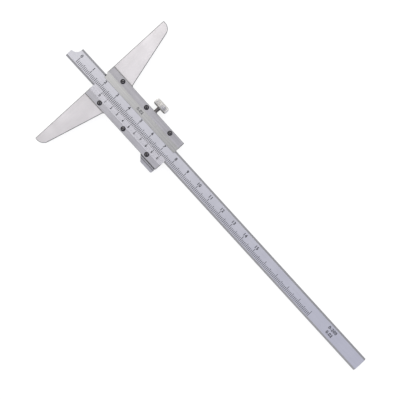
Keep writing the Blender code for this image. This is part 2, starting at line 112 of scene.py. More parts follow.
class NodeBoard:
    """A shader node tree with short calls that add nodes and join them."""

    def __init__(self, tree: bpy.types.NodeTree) -> None:
        """Empties the tree.

        Args:
            tree: the node tree of a material or of the world.
        """
        self.tree = tree
        self.tree.nodes.clear()

    def add(self, kind: str, inputs: dict[Any, Any] | None = None, **settings: Any) -> bpy.types.Node:
        """Adds a node.

        Args:
            kind: the node's type name.
            inputs: values or sockets for its inputs, by name or number.
            **settings: the node's own properties.

        Returns:
            The new node.
        """
        node = self.tree.nodes.new(kind)
        for name, value in settings.items():
            setattr(node, name, value)
        for key, value in (inputs or {}).items():
            self.feed(node.inputs[key], value)
        return node

    def feed(self, socket: bpy.types.NodeSocket, value: Any) -> None:
        """Gives an input a value, or joins a socket to it.

        Args:
            socket: the input.
            value: a number, a colour, a vector or another node's output.
        """
        if isinstance(value, bpy.types.NodeSocket):
            self.tree.links.new(value, socket)
        else:
            socket.default_value = value

    def local(self) -> bpy.types.NodeSocket:
        """The point on the piece, in millimetres of its own frame."""
        where = self.add("ShaderNodeTexCoord").outputs["Object"]
        return self.vector("SCALE", where, scale=1 / MM)

    def vector(
        self, operation: str, first: Any, second: Any = None, scale: float = 1.0
    ) -> bpy.types.NodeSocket:
        """A vector sum, product or the like.

        Args:
            operation: Vector Math's operation.
            first: its first vector.
            second: its second vector, where the operation takes one.
            scale: the factor of SCALE.

        Returns:
            The socket that holds the result.
        """
        node = self.add("ShaderNodeVectorMath", {0: first}, operation=operation)
        if second is not None:
            self.feed(node.inputs[1], second)
        if operation == "SCALE":
            node.inputs["Scale"].default_value = scale
        return node.outputs["Value" if operation in ("LENGTH", "DOT_PRODUCT") else "Vector"]

    def math(self, operation: str, first: Any, second: Any = 0.0) -> bpy.types.NodeSocket:
        """A sum, product or the like of two numbers.

        Args:
            operation: Math's operation.
            first: its first number.
            second: its second number.

        Returns:
            The socket that holds the result.
        """
        return self.add("ShaderNodeMath", {0: first, 1: second}, operation=operation).outputs[0]

    def noise(
        self, where: Any, scale: float, detail: float = 2.0, rough: float = 0.5
    ) -> bpy.types.NodeSocket:
        """Soft noise from 0 to 1.

        Args:
            where: the point that it is read at.
            scale: how many features each unit of the point has.
            detail: its octaves.
            rough: how much the fine octaves weigh.

        Returns:
            The socket that holds the noise.
        """
        inputs = {"Vector": where, "Scale": scale, "Detail": detail, "Roughness": rough}
        return self.add("ShaderNodeTexNoise", inputs).outputs["Fac"]

    def ease(
        self, value: Any, start: float, end: float, low: float = 0.0, high: float = 1.0
    ) -> bpy.types.NodeSocket:
        """A smooth step of a number.

        Args:
            value: the number.
            start: where the step begins.
            end: where it ends.
            low: the result before it.
            high: the result after it.

        Returns:
            The socket that holds the step.
        """
        inputs = {"Value": value, "From Min": start, "From Max": end, "To Min": low, "To Max": high}
        node = self.add("ShaderNodeMapRange", inputs, interpolation_type="SMOOTHSTEP")
        return node.outputs["Result"]

    def blend(self, share: Any, first: Any, second: Any) -> bpy.types.NodeSocket:
        """A mix of two colours.

        Args:
            share: how much of the second one shows.
            first: the first colour.
            second: the second colour.

        Returns:
            The socket that holds the mix.
        """
        node = self.add("ShaderNodeMix", data_type="RGBA")
        sockets = [node.inputs[0], node.inputs[6], node.inputs[7]]
        for socket, value in zip(sockets, (share, first, second)):
            plain = isinstance(value, tuple)
            self.feed(socket, (*value, 1.0) if plain else value)
        return node.outputs[2]

    def worn_edges(self, reach: float) -> bpy.types.NodeSocket:
        """How near the point is to an edge of the mesh.

        Args:
            reach: how far from an edge the wear goes, in millimetres.

        Returns:
            The socket that holds 1 at an edge and 0 away from it.
        """
        rounded = self.add("ShaderNodeBevel", {"Radius": reach * MM}).outputs["Normal"]
        true = self.add("ShaderNodeNewGeometry").outputs["True Normal"]
        return self.ease(self.vector("DOT_PRODUCT", rounded, true), *EDGE_BEND)

    def corners(self, reach: float) -> bpy.types.NodeSocket:
        """How deep in a corner or a gap the point is, from ambient occlusion: the mask of painted shade in
        corners.

        Args:
            reach: how far from the corner the painted shade goes, in millimetres.

        Returns:
            The socket that holds 1 in a tight corner and 0 in the open.
        """
        openness = self.add("ShaderNodeAmbientOcclusion", {"Distance": reach * MM}).outputs["AO"]
        return self.ease(openness, *CORNER_OPENNESS)


@dataclass(frozen=True)
class Finish:
    """What every finish of the gauge has."""

    name: str
    colour: Colour
    roughness: float
    metallic: float = 1.0

    def material(self) -> bpy.types.Material:
        """Makes the finish as a material.

        Returns:
            The new material.
        """
        made = bpy.data.materials.new(self.name)
        made.use_nodes = True
        board = NodeBoard(made.node_tree)
        shader = board.add("ShaderNodeBsdfPrincipled")
        shader.inputs["Metallic"].default_value = self.metallic
        output = board.add("ShaderNodeOutputMaterial")
        board.tree.links.new(shader.outputs["BSDF"], output.inputs["Surface"])
        self.paint(board, shader)
        return made

    def paint(self, board: NodeBoard, shader: bpy.types.Node) -> None:
        """Joins the finish's pattern to the shader.

        Args:
            board: the material's node board.
            shader: its Principled shader.
        """
        raise NotImplementedError

    def toned(self, factor: float) -> Colour:
        """The finish's colour, lighter or darker by a factor."""
        return tuple(min(1.0, channel * factor) for channel in self.colour)

    def relief(
        self, board: NodeBoard, shader: bpy.types.Node, height: Any, depth: float, rounding: float = 0.05
    ) -> None:
        """Gives the shader a fine relief and slightly rounded edges.

        Args:
            board: the material's node board.
            shader: its Principled shader.
            height: the socket with the height, from 0 to 1.
            depth: how deep the relief is, in millimetres.
            rounding: how far the edges look rounded, in millimetres.
        """
        rounded = board.add("ShaderNodeBevel", {"Radius": rounding * MM}).outputs["Normal"]
        inputs = {"Strength": 1.0, "Distance": depth * MM, "Height": height, "Normal": rounded}
        bump = board.add("ShaderNodeBump", inputs)
        board.feed(shader.inputs["Normal"], bump.outputs["Normal"])


@dataclass(frozen=True)
class WorkedSteel(Finish):
    """Flat steel that was blasted or ground: grain, working lines, cloudy tone, worn edges, with painted
    shade on its chamfers and walls, in its corners and, where asked, on its low faces.
    """

    # Darker colours for chamfers and upright walls: painted shade.
    edge_colour: Colour = (0.4, 0.4, 0.42)
    edge_roughness: float = 0.3
    wall_colour: Colour = (0.42, 0.42, 0.43)
    slope_colour: Colour | None = None
    # A darker colour for faces below a level: painted shade in recesses.
    low_colour: Colour | None = None
    low_level: float = 6.2
    low_fade: float = 0.2
    lay: Lay = Lay.ALONG_Y
    line_contrast: float = 0.05
    band_contrast: float = 0.06
    cloud_contrast: float = 0.04
    grain_depth: float = 0.0015
    line_depth: float = 0.001
    rounding: float = 0.12
    roughness_spread: float = 0.03
    worn: float = 0.5
    worn_reach: float = 0.12
    worn_gain: float = 1.25
    worn_gloss: float = 0.08
    # Darkening in corners and gaps: painted shade, partly standing for dirt in the seams.
    dirt: float = 0.6
    dirt_reach: float = 0.9
    dirt_colour: Colour = (0.10, 0.095, 0.09)

    def paint(self, board: NodeBoard, shader: bpy.types.Node) -> None:
        """Joins the steel's pattern to the shader.

        Args:
            board: the material's node board.
            shader: its Principled shader.
        """
        where = board.local()
        drawn = board.vector("MULTIPLY", where, self.lay.value)
        lines = board.noise(drawn, scale=1.0, detail=4.0, rough=0.6)
        bands = board.noise(drawn, scale=0.18, detail=2.0, rough=0.6)
        grain = board.noise(where, scale=8.0)
        clouds = board.noise(where, scale=0.09, detail=3.0, rough=0.45)
        tone: Any = 1.0
        for pattern, contrast in (
            (lines, self.line_contrast),
            (bands, self.band_contrast),
            (grain, self.line_contrast),
            (clouds, self.cloud_contrast),
        ):
            stroke = board.math("MULTIPLY", board.math("SUBTRACT", pattern, 0.5), 4 * contrast)
            tone = board.math("ADD", stroke, tone)
        upright = board.add("ShaderNodeTexCoord").outputs["Normal"]
        level = board.math("ABSOLUTE", board.add("ShaderNodeSeparateXYZ", {0: upright}).outputs["Z"])
        # Chamfers and upright walls take darker colours here: painted shade.
        side = board.ease(level, *CHAMFERED)
        edges = board.blend(board.ease(level, *UPRIGHT), self.edge_colour, self.wall_colour)
        faces = board.blend(side, self.face_colour(board, where, level), edges)
        tones = board.add("ShaderNodeCombineXYZ", {0: tone, 1: tone, 2: tone})
        toned = board.vector("MULTIPLY", faces, tones.outputs[0])
        patchy = board.ease(grain, 0.35, 0.6, 0.3, self.worn)
        wear = board.math("MULTIPLY", board.worn_edges(self.worn_reach), patchy)
        rubbed = board.blend(wear, toned, self.toned(self.worn_gain))
        # Painted shade in corners and gaps from ambient occlusion, a little patchy, partly standing for
        # dirt in the seams.
        dirt = board.math("MULTIPLY", board.corners(self.dirt_reach), board.ease(grain, 0.3, 0.5, 0.8, 1.0))
        corner_shaded = board.math("MULTIPLY", dirt, self.dirt)
        board.feed(shader.inputs["Base Color"], board.blend(corner_shaded, rubbed, self.dirt_colour))
        dull, bright = self.roughness + self.roughness_spread, self.roughness - self.roughness_spread
        spread = board.ease(clouds, 0.3, 0.7, bright, dull)
        sides = board.math("MULTIPLY", side, self.edge_roughness - self.roughness)
        polish = board.math("MULTIPLY", wear, -self.worn_gloss)
        rough = board.math("ADD", board.math("ADD", spread, sides), polish)
        board.feed(shader.inputs["Roughness"], rough)
        height = board.math("ADD", board.math("MULTIPLY", lines, self.line_depth / self.grain_depth), grain)
        self.relief(board, shader, height, self.grain_depth, self.rounding)

    def face_colour(self, board: NodeBoard, where: Any, level: Any) -> Any:
        """The colour of the up-facing surfaces: flats, slopes and low faces, the low ones with painted
        shade.

        Args:
            board: the material's node board.
            where: the point in millimetres.
            level: how far the surface faces up or down, from 0 to 1.

        Returns:
            A colour or the socket that holds it.
        """
        colour: Any = self.colour
        if self.slope_colour:
            colour = board.blend(board.ease(level, *OFF_FLAT), colour, self.slope_colour)
        # Faces below the recess level darken: painted shade in recesses.
        if self.low_colour:
            height = board.add("ShaderNodeSeparateXYZ", {0: where}).outputs["Z"]
            low = board.ease(height, self.low_level, self.low_level - self.low_fade)
            colour = board.blend(low, colour, self.low_colour)
        return colour


@dataclass(frozen=True)
class TurnedMetal(Finish):
    """Metal from the lathe, with rings about the piece's own Z axis, an optional painted highlight on its
    middle and optional painted shade at its foot.
    """

    rings: float = 6.0
    ring_contrast: float = 0.15
    ring_depth: float = 0.003
    worn_colour: Colour = (0.6, 0.6, 0.6)
    worn_reach: float = 0.1
    worn: float = 0.6
    # A lighter middle on a head: painted highlight.
    middle_colour: Colour | None = None
    middle_radius: float = 0.9
    middle_depth: float = 0.3
    middle_fade: float = 0.1
    # A darker foot: painted shade.
    foot_colour: Colour | None = None
    foot_level: float = 0.0
    foot_fade: float = 0.3
    roughness_spread: float = 0.05

    def paint(self, board: NodeBoard, shader: bpy.types.Node) -> None:
        """Joins the turned pattern to the shader.

        Args:
            board: the material's node board.
            shader: its Principled shader.
        """
        where = board.local()
        flat = board.vector("LENGTH", board.vector("MULTIPLY", where, (1.0, 1.0, 0.0)))
        along = board.add("ShaderNodeSeparateXYZ", {0: where}).outputs["Z"]
        round_place = board.add("ShaderNodeCombineXYZ", {0: flat, 1: along})
        rings = board.noise(round_place.outputs[0], self.rings, detail=3.0, rough=0.6)
        specks = board.noise(where, scale=5.0, detail=3.0)
        tone = board.math("MULTIPLY", board.math("SUBTRACT", rings, 0.5), 2 * self.ring_contrast)
        face = board.blend(board.math("ADD", tone, 0.5), self.toned(0.5), self.toned(1.5))
        # The lighter middle of the head is a painted highlight.
        if self.middle_colour:
            outer, inner = self.middle_radius + self.middle_fade, self.middle_radius - self.middle_fade
            rubbed = board.ease(flat, outer, inner)
            upper = board.ease(along, -self.middle_depth, 0.05 - self.middle_depth)
            uneven = board.ease(rings, 0.2, 0.5, 0.6, 1.0)
            share = board.math("MULTIPLY", board.math("MULTIPLY", rubbed, upper), uneven)
            face = board.blend(share, face, self.middle_colour)
        # The darker foot is painted shade.
        if self.foot_colour:
            foot = board.ease(along, self.foot_level, self.foot_level - self.foot_fade)
            patchy = board.ease(specks, 0.3, 0.6, 0.6, 1.0)
            face = board.blend(board.math("MULTIPLY", foot, patchy), face, self.foot_colour)
        spotty = board.ease(specks, 0.3, 0.6, 0.2, self.worn)
        wear = board.math("MULTIPLY", board.worn_edges(self.worn_reach), spotty)
        board.feed(shader.inputs["Base Color"], board.blend(wear, face, self.worn_colour))
        dull, bright = self.roughness + self.roughness_spread, self.roughness - self.roughness_spread
        board.feed(shader.inputs["Roughness"], board.ease(specks, 0.3, 0.7, bright, dull))
        self.relief(board, shader, rings, self.ring_depth)


@dataclass(frozen=True)
class EngravedInk(Finish):
    """Dark filling in an engraved line, slightly uneven."""

    worn_colour: Colour = (0.09, 0.09, 0.10)
    shine: float = 0.25
    grit_depth: float = 0.002
    roughness_spread: float = 0.1

    def paint(self, board: NodeBoard, shader: bpy.types.Node) -> None:
        """Joins the filling's pattern to the shader.

        Args:
            board: the material's node board.
            shader: its Principled shader.
        """
        where = board.local()
        patches = board.noise(where, scale=0.9, detail=3.0)
        grit = board.noise(where, scale=14.0)
        share = board.ease(patches, 0.35, 0.75, 0.0, 0.6)
        board.feed(shader.inputs["Base Color"], board.blend(share, self.colour, self.worn_colour))
        board.feed(shader.inputs["Specular IOR Level"], self.shine)
        dull, bright = self.roughness + self.roughness_spread, self.roughness - self.roughness_spread
        board.feed(shader.inputs["Roughness"], board.ease(grit, 0.2, 0.8, bright, dull))
        self.relief(board, shader, grit, self.grit_depth)


@dataclass(frozen=True)
class PaleFloor:
    """A white table top that keeps a faint shadow and shows white to the camera and to metal."""

    albedo: float = 0.2
    speck_contrast: float = 0.005
    glow: float = 0.86

    def material(self) -> bpy.types.Material:
        """Makes the floor's material.

        Returns:
            The new material.
        """
        made = bpy.data.materials.new("pale_floor")
        made.use_nodes = True
        board = NodeBoard(made.node_tree)
        speck = board.noise(board.local(), scale=0.02)
        dark, pale = self.albedo - self.speck_contrast, self.albedo + self.speck_contrast
        level = board.ease(speck, 0.2, 0.8, dark, pale)
        matt = board.add("ShaderNodeBsdfDiffuse", {"Color": level})
        rays = board.add("ShaderNodeLightPath")
        mirror = board.math("MAXIMUM", rays.outputs["Is Glossy Ray"], rays.outputs["Is Transmission Ray"])
        seen = board.math("MAXIMUM", rays.outputs["Is Camera Ray"], mirror)
        glow = board.add("ShaderNodeEmission", {"Strength": board.math("MULTIPLY", seen, self.glow)})
        both = board.add("ShaderNodeAddShader", {0: matt.outputs[0], 1: glow.outputs[0]})
        board.add("ShaderNodeOutputMaterial", {"Surface": both.outputs[0]})
        return made


@dataclass
class Workbench:
    """Makes scene objects of meshes, dresses them and hangs them on their bodies."""

    nodes: dict[str, bpy.types.Object]
    finishes: dict[str, bpy.types.Material] = field(default_factory=dict)

    def finish(self, finish: Finish) -> bpy.types.Material:
        """The finish's material, made the first time that it is asked for."""
        if finish.name not in self.finishes:
            self.finishes[finish.name] = finish.material()
        return self.finishes[finish.name]

    def dress(self, node: str, finish: Finish) -> None:
        """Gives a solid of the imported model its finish.

        Args:
            node: the solid's name.
            finish: what it is finished with.
        """
        solid = self.nodes[node]
        if not solid.material_slots:
            solid.data.materials.append(None)
        for slot in solid.material_slots:
            slot.material = self.finish(finish)
        log.info("dressed %s with %s", node, finish.name)

    def add(
        self,
        name: str,
        mesh: bpy.types.Mesh,
        finish: Finish,
        body: Body,
        slot: Slot,
        place: Matrix | None = None,
        stands_for: Sequence[str] = (),
    ) -> bpy.types.Object:
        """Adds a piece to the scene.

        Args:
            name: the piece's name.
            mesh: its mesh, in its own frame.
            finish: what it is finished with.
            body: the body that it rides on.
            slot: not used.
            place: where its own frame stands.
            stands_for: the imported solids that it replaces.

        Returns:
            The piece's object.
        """
        mesh.materials.clear()
        mesh.materials.append(self.finish(finish))
        piece = bpy.data.objects.new(name, mesh)
        bpy.context.scene.collection.objects.link(piece)
        piece.matrix_world = place or Matrix()
        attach(piece, body.value)
        if stands_for:
            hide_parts(*stands_for)
        log.info("built %s with %d faces on %s", name, len(mesh.polygons), body.value)
        return piece


def finished_mesh(
    name: str, shape: bmesh.types.BMesh, smooth_angle: float = SMOOTH_ANGLE
) -> bpy.types.Mesh:
    """Turns a BMesh in millimetres into a mesh in metres.

    Args:
        name: the mesh's name.
        shape: the BMesh, which is freed.
        smooth_angle: edges sharper than this many degrees stay sharp.

    Returns:
        The new mesh.
    """
    bmesh.ops.remove_doubles(shape, verts=shape.verts, dist=MERGE_DISTANCE)
    bmesh.ops.dissolve_degenerate(shape, edges=shape.edges, dist=MERGE_DISTANCE)
    bmesh.ops.recalc_face_normals(shape, faces=shape.faces)
    bmesh.ops.scale(shape, vec=(MM, MM, MM), verts=shape.verts)
    mesh = bpy.data.meshes.new(name)
    shape.to_mesh(mesh)
    shape.free()
    mesh.shade_smooth()
    mesh.set_sharp_from_angle(angle=math.radians(smooth_angle))
    return mesh


def lathe(shape: bmesh.types.BMesh, profile: Profile, steps: int) -> None:
    """Turns a profile about Z into a BMesh.

    Args:
        shape: the BMesh that gets the faces.
        profile: (radius, height) points.
        steps: how many flats the round has.
    """
    points = [shape.verts.new((radius, 0.0, height)) for radius, height in profile]
    edges = [shape.edges.new(pair) for pair in zip(points, points[1:])]
    bmesh.ops.spin(
        shape,
        geom=points + edges,
        cent=(0, 0, 0),
        axis=(0, 0, 1),
        angle=2 * math.pi,
        steps=steps,
        use_merge=True,
    )


def cut_mesh(mesh: bpy.types.Mesh, cutter: bpy.types.Mesh) -> bpy.types.Mesh:
    """Cuts one mesh out of another.

    Args:
        mesh: what is cut.
        cutter: what is taken away.

    Returns:
        The cut mesh.
    """
    holder = bpy.data.objects.new("holder", mesh)
    tool = bpy.data.objects.new("tool", cutter)
    for item in (holder, tool):
        bpy.context.scene.collection.objects.link(item)
    boolean = holder.modifiers.new("Cut", "BOOLEAN")
    boolean.object = tool
    boolean.solver = "EXACT"
    graph = bpy.context.evaluated_depsgraph_get()
    made = bpy.data.meshes.new_from_object(holder.evaluated_get(graph))
    for item in (holder, tool):
        bpy.data.objects.remove(item)
    return made


@dataclass(frozen=True)
class Tick:
    """One engraved line, from one X to another at a Y of its surface."""

    start: float
    end: float
    at: float


@dataclass(frozen=True)
class Label:
    """One engraved number, whose foot stands at an X and whose middle stands at a Y."""

    text: str
    foot: float
    at: float
    height: float


@dataclass
class Engraver:
    """Cuts the lines and numbers of a scale, filled flush with the surface."""

    surface: Matrix
    line_width: float = 0.2
    proud: float = 0.015
    sunk: float = 0.03
    boldness: float = 0.035
    spacing: float = 1.12
    curve_steps: int = 4

    def line_mesh(self, name: str, ticks: Iterable[Tick]) -> bpy.types.Mesh:
        """Makes the lines of a scale.

        Args:
            name: the mesh's name.
            ticks: the lines.

        Returns:
            One mesh with all the lines.
        """
        shape = bmesh.new()
        for tick in ticks:
            size = (abs(tick.end - tick.start), self.line_width, self.proud + self.sunk)
            middle = ((tick.start + tick.end) / 2, tick.at, (self.proud - self.sunk) / 2)
            place = Matrix.Translation(middle) @ Matrix.Diagonal((*size, 1.0))
            bmesh.ops.create_cube(shape, size=1.0, matrix=place)
        return finished_mesh(name, shape)

    def number_mesh(self, name: str, labels: Iterable[Label]) -> bpy.types.Mesh:
        """Makes the numbers of a scale, which read along -Y with their tops towards +X.

        Args:
            name: the mesh's name.
            labels: the numbers.

        Returns:
            One mesh with all the numbers.
        """
        shape = bmesh.new()
        for label in labels:
            glyphs = self.glyph_mesh(label)
            shape.from_mesh(glyphs)
            bpy.data.meshes.remove(glyphs)
        return finished_mesh(name, shape)

    def glyph_mesh(self, label: Label) -> bpy.types.Mesh:
        """Makes one number.

        Args:
            label: the number.

        Returns:
            Its mesh in millimetres, at its place on the surface.
        """
        curve = bpy.data.curves.new(label.text, "FONT")
        curve.body = label.text
        curve.align_x = "CENTER"
        curve.offset = self.boldness
        curve.space_character = self.spacing
        curve.extrude = (self.proud + self.sunk) / 2
        curve.resolution_u = self.curve_steps
        holder = bpy.data.objects.new(label.text, curve)
        bpy.context.scene.collection.objects.link(holder)
        graph = bpy.context.evaluated_depsgraph_get()
        mesh = bpy.data.meshes.new_from_object(holder.evaluated_get(graph))
        bpy.data.objects.remove(holder)
        bpy.data.curves.remove(curve)
        heights = [vertex.co.y for vertex in mesh.vertices]
        scale = label.height / (max(heights) - min(heights))
        lift = Matrix.Translation((0.0, -min(heights), 0.0))
        grow = Matrix.Diagonal((scale, scale, 1.0, 1.0))
        turn = Matrix.Rotation(-math.pi / 2, 4, "Z")
        place = Matrix.Translation((label.foot, label.at, (self.proud - self.sunk) / 2))
        mesh.transform(place @ turn @ grow @ lift)
        return mesh


@dataclass
class GraduatedBeam:
    """The graduated beam: its steel, its 200 mm scale and the range near its tail."""

    face_level: float = 6.8
    zero: float = 16.45
    length: int = 200
    numbered: int = 15
    tick_start: float = -3.4
    short_end: float = -1.15
    half_end: float = -0.5
    long_end: float = 0.4
    number_foot: float = 0.65
    number_height: float = 1.95
    range_place: float = 217.0
    range_height: float = 2.0
    range_gap: float = 0.2
    line_width: float = 0.31
    finish: WorkedSteel = WorkedSteel(
        "satin_chromed_steel",
        (0.51, 0.51, 0.535),
        0.38,
        # darker chamfers: painted shade
        edge_colour=(0.34, 0.34, 0.36),
        line_contrast=0.035,
        band_contrast=0.025,
        cloud_contrast=0.03,
        grain_depth=0.002,
    )
    ink: EngravedInk = EngravedInk("scale_ink", (0.02, 0.02, 0.025), 0.5, 0.0)

    def build(self, bench: Workbench) -> None:
        """Dresses the beam and cuts its scale.

        Args:
            bench: what makes and hangs the pieces.
        """
        bench.dress("beam", self.finish)
        surface = Matrix.Translation((0.0, 0.0, self.face_level * MM))
        engraver = Engraver(surface, self.line_width)
        lines = engraver.line_mesh("beam_scale_lines", self.ticks())
        bench.add("beam_scale_lines", lines, self.ink, Body.BEAM, Slot.BEAM, surface)
        numbers = engraver.number_mesh("beam_scale_numbers", self.labels())
        bench.add("beam_scale_numbers", numbers, self.ink, Body.BEAM, Slot.BEAM, surface)
        ranges = engraver.number_mesh("beam_range_numbers", self.range_labels())
        bench.add("beam_range_numbers", ranges, self.ink, Body.BEAM, Slot.BEAM, surface)

    def ticks(self) -> list[Tick]:
        """The scale's lines, one for each millimetre."""
        ends = {0: self.long_end, 5: self.half_end}
        return [
            Tick(self.tick_start, ends.get(step % 10, self.short_end), self.zero - step)
            for step in range(self.length + 1)
        ]

    def labels(self) -> list[Label]:
        """The scale's numbers, one for each centimetre as far as they go."""
        return [
            Label(str(count), self.number_foot, self.zero - 10 * count, self.number_height)
            for count in range(self.numbered + 1)
        ]

    def range_labels(self) -> list[Label]:
        """The measuring range and the reading step, in plain numbers near the tail."""
        at = self.zero - self.range_place
        return [
            Label("0-200", self.number_foot + self.range_gap, at, self.range_height),
            Label("0.02", -self.range_height - self.range_gap, at, self.range_height),
        ]


@dataclass
class WingedBase:
    """The base with its wings, ground on its flats, with the leaf spring that it holds."""

    finish: WorkedSteel = WorkedSteel(
        "ground_base_steel",
        (0.62, 0.60, 0.60),
        0.33,
        # The darker chamfers, low faces and corners below are painted shade.
        edge_colour=(0.17, 0.17, 0.175),
        low_colour=(0.385, 0.385, 0.405),
        lay=Lay.ALONG_X,
        line_contrast=0.03,
        band_contrast=0.02,
        cloud_contrast=0.06,
        dirt=0.85,
        dirt_reach=1.4,
    )
    spring_finish: WorkedSteel = WorkedSteel(
        "rolled_spring_steel",
        (0.35, 0.36, 0.40),
        0.28,
        # slightly darker edges: painted shade
        edge_colour=(0.30, 0.31, 0.35),
        line_contrast=0.12,
    )

    def build(self, bench: Workbench) -> None:
        """Dresses the base and its spring.

        Args:
            bench: what dresses the solids.
        """
        bench.dress("base_frame", self.finish)
        bench.dress("leaf_spring", self.spring_finish)


@dataclass
class VernierPlate:
    """The left front plate, bevelled down to the beam, with its 50-division vernier."""

    lip: float = -3.0
    lip_level: float = 7.15
    ridge: float = -7.7
    ridge_level: float = 8.7
    zero: float = -6.75
    divisions: int = 50
    pitch: float = 0.98
    short_length: float = 1.5
    long_length: float = 2.25
    number_foot: float = 4.05
    number_height: float = 1.6
    line_width: float = 0.27
    finish: WorkedSteel = WorkedSteel(
        "satin_vernier_steel",
        (0.40, 0.395, 0.41),
        0.38,
        # darker chamfers: painted shade
        edge_colour=(0.36, 0.36, 0.365),
        slope_colour=(0.36, 0.358, 0.385),
        line_contrast=0.05,
        band_contrast=0.09,
        grain_depth=0.002,
    )
    ink: EngravedInk = EngravedInk("vernier_ink", (0.02, 0.02, 0.025), 0.5, 0.0)

    def build(self, bench: Workbench) -> None:
        """Dresses the plate and cuts its vernier.

        Args:
            bench: what makes and hangs the pieces.
        """
        bench.dress("vernier_plate", self.finish)
        slope = math.atan2(self.ridge_level - self.lip_level, self.lip - self.ridge)
        foot = Matrix.Translation(Vector((self.lip, 0.0, self.lip_level)) * MM)
        place = foot @ Matrix.Rotation(slope, 4, "Y")
        engraver = Engraver(place, self.line_width)
        lines = engraver.line_mesh("vernier_lines", self.ticks())
        bench.add("vernier_lines", lines, self.ink, Body.BASE, Slot.VERNIER, place)
        numbers = engraver.number_mesh("vernier_numbers", self.labels())
        bench.add("vernier_numbers", numbers, self.ink, Body.BASE, Slot.VERNIER, place)

    def ticks(self) -> list[Tick]:
        """The vernier's lines, which run from the lip up the bevel."""
        return [
            Tick(
                start=-(self.short_length if step % 5 else self.long_length),
                end=0.0,
                at=self.zero - self.pitch * step,
            )
            for step in range(self.divisions + 1)
        ]

    def labels(self) -> list[Label]:
        """The vernier's numbers, 0 to 9 and 0 again."""
        return [
            Label(str(step % 10), -self.number_foot, self.zero - 5 * self.pitch * step, self.number_height)
            for step in range(self.divisions // 5 + 1)
        ]


@dataclass
class GuidePlate:
    """The right front plate, bevelled down to the beam, with the reading step on its bevel."""

    lip: float = 3.0
    lip_level: float = 7.15
    ridge: float = 6.95
    ridge_level: float = 8.7
    number_foot: float = 1.3
    number_place: float = -28.9
    number_height: float = 1.95
    finish: WorkedSteel = WorkedSteel(
        "brushed_guide_steel",
        (0.372, 0.365, 0.377),
        0.36,
        # darker chamfers: painted shade
        edge_colour=(0.27, 0.27, 0.27),
        slope_colour=(0.385, 0.385, 0.38),
        line_contrast=0.12,
        band_contrast=0.13,
        cloud_contrast=0.06,
    )
    ink: EngravedInk = EngravedInk("guide_ink", (0.12, 0.12, 0.12), 0.5, 0.0)

    def build(self, bench: Workbench) -> None:
        """Dresses the plate and cuts its number.

        Args:
            bench: what makes and hangs the pieces.
        """
        bench.dress("guide_plate", self.finish)
        slope = math.atan2(self.ridge_level - self.lip_level, self.ridge - self.lip)
        foot = Matrix.Translation(Vector((self.lip, 0.0, self.lip_level)) * MM)
        place = foot @ Matrix.Rotation(-slope, 4, "Y")
        engraver = Engraver(place)
        label = Label("0.02", self.number_foot, self.number_place, self.number_height)
        numbers = engraver.number_mesh("guide_step_number", [label])
        bench.add("guide_step_number", numbers, self.ink, Body.BASE, Slot.GUIDE, place)


@dataclass
class PlateScrews:
    """The six slotted screws, blackened, with a painted highlight on their domed heads."""

    side: float = 9.093
    rows: tuple[float, ...] = (-10.0, -30.0, -50.0)
    slot_angles: tuple[float, ...] = (35.0, 120.0, 50.0, 140.0, 40.0, 95.0)
    head_radius: float = 1.4
    rim_radius: float = 0.18
    dome: float = 0.2
    crown_level: float = 9.0
    head_height: float = 0.85
    shank_radius: float = 0.8
    shank_length: float = 3.8
    tip_chamfer: float = 0.25
    slot_width: float = 0.5
    slot_depth: float = 0.45
    cutter_spare: float = 1.0
    rim_steps: int = 6
    dome_shares: tuple[float, ...] = (0.0, 0.25, 0.5, 0.75)
    steps: int = 48
    finish: TurnedMetal = TurnedMetal(
        "blackened_screw_steel",
        (0.018, 0.017, 0.020),
        0.34,
        0.9,
        rings=5.0,
        ring_contrast=0.3,
        worn_colour=(0.30, 0.30, 0.31),
        worn=0.8,
        # lighter middle: painted highlight on the domed head
        middle_colour=(0.115, 0.11, 0.113),
    )

    def build(self, bench: Workbench) -> None:
        """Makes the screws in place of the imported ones.

        Args:
            bench: what makes and hangs the pieces.
        """
        angles = iter(self.slot_angles)
        for plate, x in (("vernier", -self.side), ("guide", self.side)):
            for number, y in enumerate(self.rows, start=1):
                name = f"{plate}_screw_{number}"
                place = Matrix.Translation(Vector((x, y, self.crown_level)) * MM)
                turned = place @ Matrix.Rotation(math.radians(next(angles)), 4, "Z")
                stands_for = f"{plate}_plate_screw_{number}"
                bench.add(name, self.mesh(name), self.finish, Body.BASE, Slot.SCREW, turned, [stands_for])

    def profile(self) -> list[tuple[float, float]]:
        """The screw's outline from its crown down, as (radius, height) below the crown."""
        inner = self.head_radius - self.rim_radius
        dome = [(inner * share, -self.dome * share * share) for share in self.dome_shares]
        rim_level = -self.dome - self.rim_radius
        rim = []
        for step in range(self.rim_steps + 1):
            angle = math.radians(90 - 90 * step / self.rim_steps)
            across, up = self.rim_radius * math.cos(angle), self.rim_radius * math.sin(angle)
            rim.append((inner + across, rim_level + up))
        under = -self.dome - self.head_height
        tip = under - self.shank_length
        return [
            *dome,
            *rim,
            (self.head_radius, under),
            (self.shank_radius, under),
            (self.shank_radius, tip + self.tip_chamfer),
            (self.shank_radius - self.tip_chamfer, tip),
            (0.0, tip),
        ]

    def mesh(self, name: str) -> bpy.types.Mesh:
        """Makes one screw with its crown at the origin.

        Args:
            name: the mesh's name.

        Returns:
            The screw's mesh.
        """
        shape = bmesh.new()
        lathe(shape, self.profile(), self.steps)
        body = finished_mesh(name, shape)
        cut = bmesh.new()
        spare = self.cutter_spare
        size = (2 * self.head_radius + spare, self.slot_width, self.slot_depth + spare)
        middle = Matrix.Translation((0.0, 0.0, (spare - self.slot_depth) / 2))
        bmesh.ops.create_cube(cut, size=1.0, matrix=middle @ Matrix.Diagonal((*size, 1.0)))
        slotted = cut_mesh(body, finished_mesh("screw_slot", cut))
        slotted.set_sharp_from_angle(angle=math.radians(SMOOTH_ANGLE))
        return slotted


